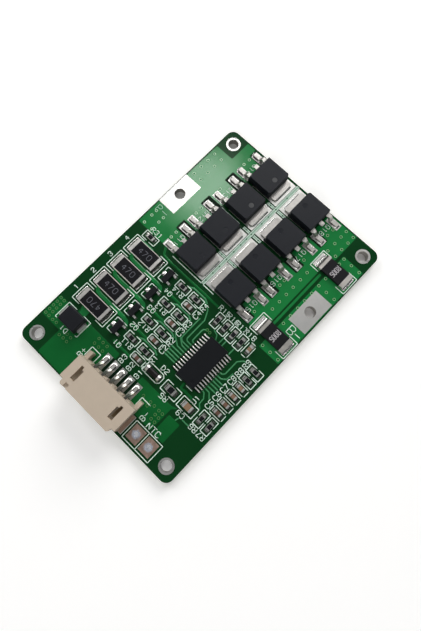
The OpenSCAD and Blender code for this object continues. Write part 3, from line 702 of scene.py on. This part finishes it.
low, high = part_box("controller_leads")
lead_half, foot_half, lead_pitch = 0.11 * MM, 0.25 * MM, (high.x - low.x - 0.22 * MM) / 13
meniscus("controller_solder", [(low.x + lead_half + i * lead_pitch, y) for i in range(14)
                               for y in (low.y + foot_half, high.y - foot_half)], (0.13, 0.6), (0.1, 0.25), 0.1)

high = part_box("balance_transistor_leads")[1]
meniscus("driver_solder", [(at(x, 0).x, high.y - 0.15 * MM) for x in balance_x], (0.5, 0.42), (0.24, 0.2), 0.16)


def toes(name, ends, width, reach, dip):
    """Low swells of solder along the outer edge of wide lands, hollowed towards the part; sizes in mm."""
    steps, points, faces = 16, [], []
    for (x, y), outward in ends:
        first = len(points)
        for i in range(steps + 1):
            u = 2 * i / steps - 1
            inner = reach * (0.05 + dip * (1 - u * u))
            for t, lift in ((0.0, 0.0), (0.25, 0.05), (0.7, 0.06), (1.0, 0.0)):
                points.append(at(x + u * width / 2, y - outward * (inner + (reach - inner) * t), 0.05 + lift))
        swell = [(0, 1, 2, 3), tuple(4 * steps + k for k in (3, 2, 1, 0))]
        for row in range(0, 4 * steps, 4):
            swell += [(row + k, row + k + 4, row + k + 5, row + k + 1) for k in range(3)]
            swell.append((row, row + 3, row + 7, row + 4))
        faces += [tuple(first + corner for corner in face[::outward]) for face in swell]
    build(name, points, faces, solder)


def both_ends(node, over, back):
    """The two ends of a resistor that lies along Y, each a little beyond its terminal, with its direction."""
    low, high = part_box(node)
    x = plan_middle(node)[0]
    return [((x, (board_high.y - high.y) / MM - over), 1), ((x, (board_high.y - low.y) / MM + back), -1)]


toes("balance_solder_toes", [end for i in range(1, 5) for end in both_ends(f"balance_resistor_{i}", 0.2, 0.3)],
     3.2, 0.5, 0.6)
toes("shunt_solder_toes", [end for i in (1, 2) for end in both_ends(f"shunt_resistor_{i}", 0.2, 0.2)], 3.0, 0.5, 0.5)


# ---- Legend ----
# White ink screened over the mask: a broken frame round each part, a small reference mark
# beside it, and plain marks at the wire pads.
ink = finish("screened_ink", (0.78, 0.95, 0.84), 0.6, specular=0.3, tone=0.35, patch=0.4, grain=0.08, relief=0.004)
ink_height = 0.012


def print_lines(name, lines, width, z=0.062, bend=0.12, material=ink):
    """Flat strokes of one width along paths given in plan; sizes in mm."""
    grow_paths(name, [[at(x, y, z - ink_height / 2) for x, y in line] for line in lines], ink_tree, width, ink_height,
               bend, material)


LETTERS = {  # strokes on a grid of 5 by 7 points, each point its column and its row from below
    "0": "10 30 41 45 36 16 05 01 10", "1": "15 26 20", "2": "05 16 36 45 44 01 00 40",
    "3": "05 16 36 45 44 33 23/33 42 41 30 10 01", "4": "30 36 02 42", "5": "46 06 03 33 42 41 30 10 01",
    "6": "45 36 16 05 01 10 30 41 42 33 03", "7": "06 46 10", "8": "13 04 05 16 36 45 44 33 13 02 01 10 30 41 42 33",
    "9": "01 10 30 41 45 36 16 05 04 13 43", "B": "00 06 36 45 44 33 03/33 42 41 30 00", "C": "45 36 16 05 01 10 30 41",
    "D": "00 06 26 44 42 20 00", "N": "00 06 40 46", "P": "00 06 36 45 44 33 03",
    "Q": "10 30 41 45 36 16 05 01 10/22 40", "R": "00 06 36 45 44 33 03/23 40", "T": "06 46/26 20",
    "U": "06 01 10 30 41 46", "+": "03 43/21 25", "-": "03 43"}


def lettering(text, x, y, height=1.0, turn=0, narrow=1.0):
    """Stroke paths for a short mark centred on a plan point; a turn of -90 reads towards the south edge."""
    unit, lines = height / 6, []
    middle = len(text) * 3 - 1
    turned = Matrix.Rotation(math.radians(turn), 2)
    for i, letter in enumerate(text):
        for line in LETTERS[letter].split("/"):
            spots = [turned @ Vector(((i * 6 + int(column) - middle) * unit * narrow, (int(row) - 3) * unit))
                     for column, row in line.split()]
            lines.append([(x + spot.x, y - spot.y) for spot in spots])
    return lines


def gapped_frame(x, y, to_x, to_y, gap=0.0, side="x"):
    """A rectangle of lines with a gap in the middle of its two west and east sides, or of the other two."""
    cx, cy = (x + to_x) / 2, (y + to_y) / 2
    if side == "x":
        return [[(x, cy - gap / 2), (x, y), (to_x, y), (to_x, cy - gap / 2)],
                [(x, cy + gap / 2), (x, to_y), (to_x, to_y), (to_x, cy + gap / 2)]]
    return [[(cx - gap / 2, y), (x, y), (x, to_y), (cx - gap / 2, to_y)],
            [(cx + gap / 2, y), (to_x, y), (to_x, to_y), (cx + gap / 2, to_y)]]


frames = [[(7.15, 3.0), (7.15, 2.6), (10.9, 2.6), (10.9, 4.7)], [(7.15, 8.2), (7.15, 8.6), (10.9, 8.6), (10.9, 6.7)]]
for x in balance_x:
    frames += [[(x - 1.5, 12.8), (x - 1.5, 11.45), (x - 0.7, 11.45)],
               [(x + 0.7, 11.45), (x + 1.5, 11.45), (x + 1.5, 12.8)], [(x + 1.5, 13.1), (x + 1.5, 13.9)],
               [(x - 2.3, 18.9), (x - 2.1, 18.5), (x - 0.9, 18.5), (x - 0.7, 18.9)],
               [(x - 2.3, 18.9), (x - 2.3, 21.1)], [(x - 0.7, 18.9), (x - 0.7, 21.1)],
               [(x - 2.1, 21.45), (x - 0.9, 21.45)]]
    for frame_of_part in ((x - 2.0, 2.2, x + 2.0, 10.75, 4.7), (x - 0.35, 14.95, x + 1.35, 17.95, 0.7),
                          (x - 0.35, 18.5, x + 1.35, 21.5, 0.6)):
        frames += gapped_frame(*frame_of_part)
for x in (15.72, 17.78, 19.82, 21.88):
    frames += [[(x + side, 36.5), (x + side, 38.9)] for side in (-0.78, 0.78)]
    frames += [[(x - 0.6, y), (x + 0.6, y)] for y in (36.25, 39.2)]
for y in (25.75, 27.8, 29.8, 31.8):
    frames += gapped_frame(26.7, y - 0.8, 29.85, y + 0.8, 0.6, "y")
for frame_of_part in (
        (11.55, 26.8, 13.75, 30.5, 0.8), (11.5, 31.05, 13.75, 34.85, 0.4), (11.25, 35.5, 14.5, 37.1, 0.5, "y"),
        (11.25, 37.5, 14.5, 39.1, 0.5, "y"), (23.1, 36.1, 24.75, 39.2, 0.6), (25.05, 36.1, 26.8, 39.2, 0.6),
        (30.2, 3.0, 31.9, 6.3, 0.7), (31.6, 31.05, 35.65, 39.75, 4.6), (49.05, 31.15, 53.05, 39.7, 4.6)):
    frames += gapped_frame(*frame_of_part)
frames += [[(11.6, 25.6), (11.6, 21.95), (13.75, 21.95), (13.75, 25.6), (13.3, 26.1), (12.05, 26.1), (11.6, 25.6)],
           [(27.0, 33.05), (29.4, 33.05)], [(27.0, 34.6), (29.4, 34.6)], [(26.75, 33.4), (26.75, 34.3)],
           [(29.75, 33.4), (29.75, 34.3)]]
frames += [[(4.45, 27.95), (0.5, 27.95), (0.5, 34.65), (4.45, 34.65), (4.45, 27.95)], [(0.5, 31.25), (4.45, 31.25)],
           [(5.9, 12.15), (8.05, 12.15), (8.05, 14.4), (5.9, 14.4)], [(6.2, 25.7), (8.0, 25.7), (8.0, 27.8)],
           [(15.3, 27.2), (15.3, 28.7)], [(15.3, 30.0), (15.3, 31.5)], [(31.45, 10.5), (31.45, 18.3)],
           [(31.45, 19.0), (31.45, 21.6)]]
print_lines("part_frames", frames, 0.17)

bar_lines = [[(31.5, y), (59.6, y)] for y in (18.3, 18.85)]
bar_lines += [[(x + side * 0.22, y), (x + side * 0.22, to_y)] for x in tab_gaps for side in (-1, 1)
              for y, to_y in ((16.5, 18.1), (19.1, 21.0))]
bar_lines += [[(45.65, 10.4), (45.65, 15.3)], [(38.4, 22.0), (38.4, 26.6)]]
print_lines("drain_bar_lines", bar_lines, 0.12)

# The pack mark is printed in a dim green: painted, for the lamp's sheen that washes it out there.
sheen_dimmed_ink = finish("sheen_dimmed_ink", (0.4, 0.66, 0.5), 0.5, specular=0.3, tone=0.5, patch=0.4, grain=0.08, relief=0.004)
print_lines("pack_wire_mark", lettering("P", 36.75, 1.4, 1.4, -90) + [[(36.75, 2.3), (36.75, 3.5)]], 0.13, bend=0.06,
            material=sheen_dimmed_ink)
marks = lettering("B", 36.7, 37.2, 1.8, -90) + [[(36.7, 38.2), (36.7, 39.3)]]
marks += lettering("NTC", 5.3, 31.4, 1.1, -90) + lettering("B-", 5.9, 28.4, 1.0) + lettering("B+", 5.9, 11.4, 1.0)
print_lines("wire_marks", marks, 0.16, bend=0.06)

labels = [(f"B{i + 1}", 10.5, 22.1 - 2.1 * i, 0) for i in range(3)]
labels += [(f"{i + 1}", x, 1.2, 0) for i, x in enumerate(balance_x)]
for i, x in enumerate(balance_x):
    labels += [(f"R{i + 11}", x - 0.9, 16.4, 90), (f"Q{i + 1}", x - 2.2, 15.0, 90), (f"C{i + 1}", x - 1.5, 22.2, 0),
               (f"R{i + 1}", x + 0.5, 22.2, 0)]
power_labels = [(f"Q{i + 11}", x, 9.1, 180) for i, x in enumerate((34.7, 41.8, 48.9, 55.9))]
power_labels += [(f"Q{i + 15}", x, 28.5, 180) for i, x in enumerate((34.9, 42.0, 49.1, 56.4))]
labels += [("R31", 32.7, 4.8, -90), ("D2", 14.6, 25.2, -90), ("R5", 10.75, 28.5, 90), ("C9", 10.75, 32.9, 90),
           ("R6", 10.55, 36.3, 90), ("R7", 10.55, 38.3, 90), ("U1", 14.6, 33.1, 0), ("D1", 6.5, 5.65, 90)]
labels += [(text, 15.8 + 2.05 * i, 35.5, 0) for i, text in enumerate(("C5", "C6", "C7", "C8", "R8", "R9"))]
labels += [(text, 30.6, y, -90) for text, y in (("R15", 25.5), ("R16", 27.8), ("R17", 30.0), ("R18", 32.2))]
for name, words, width in (("reference_marks", labels, 0.14), ("power_transistor_marks", power_labels, 0.1)):
    print_lines(name, [line for text, x, y, turn in words for line in lettering(text, x, y, 0.95, turn)], width,
                bend=0.05)


# ---- Cell-tap socket ----
# A side-entry wire-to-board shell moulded in ivory nylon, held down by a soldered metal ear at
# each end, with five square pins that bend down to the board behind it.
def soften(width, *nodes, segments=2):
    """Rounds the sharp edges of CAD nodes by a width in mm."""
    for name in nodes:
        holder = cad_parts[name]
        weld = holder.modifiers.new("weld", "WELD")
        weld.merge_threshold = 0.0005 * MM
        flat = holder.modifiers.new("flat", "DECIMATE")
        flat.decimate_type = "DISSOLVE"
        flat.angle_limit = math.radians(0.5)
        bevel = holder.modifiers.new("edges", "BEVEL")
        bevel.width = width * MM
        bevel.segments = segments
        bevel.limit_method = "ANGLE"
        bevel.angle_limit = math.radians(30)
        bevel.use_clamp_overlap = True


nylon = finish("ivory_nylon", (0.55, 0.46, 0.365), 0.42, specular=0.45, tone=0.1, gloss=0.15, patch=1.5, grain=0.06,
               relief=0.003, strength=0.4)
pin_tin = finish("tinned_pin", (0.84, 0.82, 0.79), 0.4, metallic=1.0, tone=0.1, gloss=0.2, patch=0.5, grain=0.08,
                 relief=0.004)
shell_low, shell_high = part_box("socket_housing")
shell_y = (shell_low.y + shell_high.y) / 2
# The inside of the two slots is painted a darker brown: painted shade in the recesses.
slot_x, slot_z, slot_offset, slot_half = shell_low.x + 3.4 * MM, shell_high.z - 2.5 * MM, 4.75 * MM, (1.6, 0.55, 2.35)
tree = nylon.node_tree
spot, outside = place(tree), []
for side in (-1, 1):
    centre = (slot_x, shell_y + side * slot_offset, slot_z)
    away = [calc(tree, "SUBTRACT", calc(tree, "ABSOLUTE", calc(tree, "SUBTRACT", spot[i], centre[i])),
                 slot_half[i] * MM) for i in range(3)]
    outside.append(calc(tree, "MAXIMUM", calc(tree, "MAXIMUM", *away[:2]), away[2]))
recolor(nylon, ramp(tree, calc(tree, "MINIMUM", *outside), -0.1 * MM, 0.05 * MM), low=(0.33, 0.24, 0.13))
dress(nylon, "socket_housing")
# The pins' slope, 5.2 to 7.05 mm from the west edge, is painted dark: painted shade.
painted_shade_band(pin_tin, 5.2, 7.05, (0.17, 0.17, 0.16))
dress(pin_tin, "socket_contacts")
dress(bare_copper, "socket_anchors")
soften(0.06, "socket_housing")


# ---- Power transistors ----
# Eight moulded power packages in two facing rows. The wide tinned tab at the back of each
# carries the heat and the current, and the two cut leads at the front end in solder.
epoxy = finish("moulded_epoxy", (0.009, 0.0105, 0.015), 0.5, specular=0.25, tone=0.25, gloss=0.15, patch=1.6,
               grain=0.06, relief=0.006, strength=0.6)
tab_tin = finish("tinned_tab", (0.52, 0.5, 0.475), 0.36, metallic=1.0, tone=0.35, gloss=0.3, patch=0.6, grain=0.15,
                 relief=0.012, strength=0.6)
tree = epoxy.node_tree
shader = tree.nodes["Principled BSDF"]
dull, dimple_gloss = shader.inputs["Roughness"].links[0].from_socket, 0.3
spot, top, dimple_depth = place(tree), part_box("mosfet_1")[1].z, 0.06 * MM
sunk = calc(tree, "COMPARE", spot["Z"], top - dimple_depth, 0.02 * MM)
dimple = calc(tree, "MULTIPLY", sunk, facing(tree, "Z", 0.9, 0.95))
polished = put(tree, "ShaderNodeMix", {0: dimple, 2: dull, 3: dimple_gloss})
tree.links.new(polished.outputs[0], shader.inputs["Roughness"])
# The dimples of the north row's eastern transistors are painted a lighter grey.
eastward = ramp(tree, spot["X"], at(42, 0).x, at(50, 0).x)
paler = calc(tree, "MULTIPLY", calc(tree, "GREATER_THAN", spot["Y"], 0.0), eastward)
recolor(epoxy, calc(tree, "MULTIPLY", paler, dimple), high=(0.07, 0.072, 0.075))
for i in range(1, 9):
    dress(epoxy, f"mosfet_{i}")
    dress(tab_tin, f"mosfet_lead_frame_{i}")
    soften(0.07, f"mosfet_{i}")


# ---- Controller ----
# The battery-monitor chip in a thin gull-wing package with fourteen plated leads a side. A
# round dimple marks its first lead.
chip_epoxy = finish("fine_epoxy", (0.005, 0.006, 0.008), 0.45, specular=0.2, tone=0.2, patch=1.2, grain=0.05,
                    relief=0.004, strength=0.5)
lead_tin = finish("plated_lead", (0.88, 0.87, 0.85), 0.45, metallic=1.0, tone=0.15, gloss=0.2, patch=0.3, grain=0.06,
                  relief=0.004)
dress(chip_epoxy, "controller")
dress(lead_tin, "controller_leads")
soften(0.04, "controller")


# ---- Balance and shunt resistors ----
# Thick-film chips on white alumina. A black glaze, printed with the value in pale figures,
# covers the resistive film, and the ends are plated.
def coating(name, color):
    """A thin fired or cured layer on a resistor."""
    return finish(name, color, 0.45, specular=0.13, tone=0.25, patch=1.0, grain=0.08, relief=0.006, strength=0.5)


def glaze(name, node, color, margin=0.0):
    """Glaze on a resistor, and bare alumina below its rim or, with a margin in mm, near its long sides."""
    made, rim, blur, (low, high) = coating(name, color), 0.035, 0.004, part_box(node)
    tree = made.node_tree
    spot = place(tree)
    over = ramp(tree, spot["Z"], high.z - (rim + blur) * MM, high.z - rim * MM)
    if margin:
        away = calc(tree, "ABSOLUTE", calc(tree, "SUBTRACT", spot["X"], (low.x + high.x) / 2))
        over = calc(tree, "MULTIPLY", over, calc(tree, "LESS_THAN", away, (high.x - low.x) / 2 - margin * MM))
    recolor(made, over, low=(0.66, 0.66, 0.62))
    dress(made, node)


def plated_end(name, color, roughness=0.38, tone=0.2, grain=0.1, relief=0.012, strength=0.6):
    """The tin on the ends of a chip part."""
    return finish(name, color, roughness, metallic=1.0, tone=tone, gloss=0.3, patch=0.5, grain=grain, relief=relief,
                  strength=strength)


for i in range(1, 5):
    glaze(f"balance_glaze_{i}", f"balance_resistor_{i}", (0.006, 0.006, 0.008), 0.13)
dress(coating("shunt_coating", (0.011, 0.011, 0.013)), "shunt_resistor_1", "shunt_resistor_2")
dress(plated_end("plated_end", (0.62, 0.6, 0.58)), "balance_resistor_terminals")
shunt_end_tin = plated_end("plated_shunt_end", (0.66, 0.63, 0.59))
shunt_end = (board_high.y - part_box("shunt_terminals")[1].y) / MM
# A dark band painted across the outer edge of each shunt terminal: painted shade on its rounded edge.
painted_shade_band(shunt_end_tin, shunt_end - 0.2, shunt_end + 0.26, (0.06, 0.06, 0.055), "Y")
dress(shunt_end_tin, "shunt_terminals")
code_ink, shunt_ink = [finish(name, color, 0.6, specular=0.3, tone=0.3, patch=0.4, grain=0.08, relief=0.003)
                       for name, color in (("value_ink", (0.14, 0.145, 0.17)), ("shunt_ink", (0.5, 0.48, 0.5)))]


def print_code(name, node, text, size, width, turn, narrow=1.0, material=code_ink):
    """Stroke figures on top of a part, centred on it."""
    ink_z = (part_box(node)[1].z - board_top) / MM + 0.01
    print_lines(name, lettering(text, *plan_middle(node), size, turn, narrow), width, ink_z, 0.08, material)


for i in range(1, 5):
    print_code(f"balance_code_{i}", f"balance_resistor_{i}", "470", 1.15, 0.11, 90 if i == 1 else -90)
for i in (1, 2):
    print_code(f"shunt_code_{i}", f"shunt_resistor_{i}", "R005", 1.0, 0.17, 180, 0.62, shunt_ink)


# ---- Diodes ----
# A surge clamp in a flat moulded case with two wide tabs, and a small black glass diode with
# a metal cap at each end.
clamp_epoxy = finish("clamp_epoxy", (0.006, 0.007, 0.01), 0.4, specular=0.25, tone=0.2, patch=1.2, grain=0.06,
                     relief=0.005, strength=0.5)
glass = finish("black_glass", (0.008, 0.007, 0.007), 0.38, specular=0.2, tone=0.5, patch=0.5, relief=0.002)
dress(clamp_epoxy, "clamp_diode")
dress(tin, "clamp_diode_tabs", "signal_diode_caps")
dress(glass, "signal_diode")
soften(0.08, "clamp_diode")


# ---- Balance transistors ----
# Four three-lead moulded switches, one for each cell, that turn the balance resistors on.
dress(chip_epoxy, *(f"balance_transistor_{i}" for i in range(1, 5)))
dress(lead_tin, "balance_transistor_leads")
soften(0.04, *(f"balance_transistor_{i}" for i in range(1, 5)))


# ---- Chip resistors ----
# The small resistors of the sensing, gate and output lines, each a sliver of alumina with a
# dark glazed top and plated ends.
for node in ("bleed_resistors", "filter_resistors", "output_resistors", "gate_resistors", "supply_resistor"):
    glaze(node + "_glaze", node, (0.008, 0.009, 0.011))
dress(plated_end("plated_resistor_end", (0.5, 0.5, 0.485), tone=0.3, grain=0.12, relief=0.015),
      "chip_resistor_terminals")
soften(0.11, "chip_resistor_terminals", segments=3)


# ---- Chip capacitors ----
# Bare bricks of layered ceramic between plated ends, tan to rose brown from batch to batch.
brown = (0.14, 0.075, 0.055)
ceramic, mixed_ceramic, pale_ceramic = [
    finish(name, color, 0.45, specular=specular, tone=tone, gloss=0.15, patch=1.6, grain=0.08, relief=0.006)
    for name, color, specular, tone in (("brown_ceramic", brown, 0.3, 0.9), ("mixed_ceramic", brown, 0.3, 0.7),
                                        ("tan_ceramic", (0.27, 0.17, 0.1), 0.4, 0.4))]
tree = mixed_ceramic.node_tree
recolor(mixed_ceramic, ramp(tree, place(tree)["X"], at(17, 0).x, at(21, 0).x), high=(0.28, 0.18, 0.115))
dress(ceramic, "filter_capacitors")
dress(mixed_ceramic, "timing_capacitors")
dress(pale_ceramic, "reservoir_capacitor")
dress(plated_end("bright_plated_end", (0.8, 0.79, 0.77), 0.36, relief=0.006, strength=0.5), "chip_capacitor_terminals")
soften(0.08, "chip_capacitor_terminals", segments=3)
soften(0.05, "filter_capacitors", "timing_capacitors", "reservoir_capacitor")
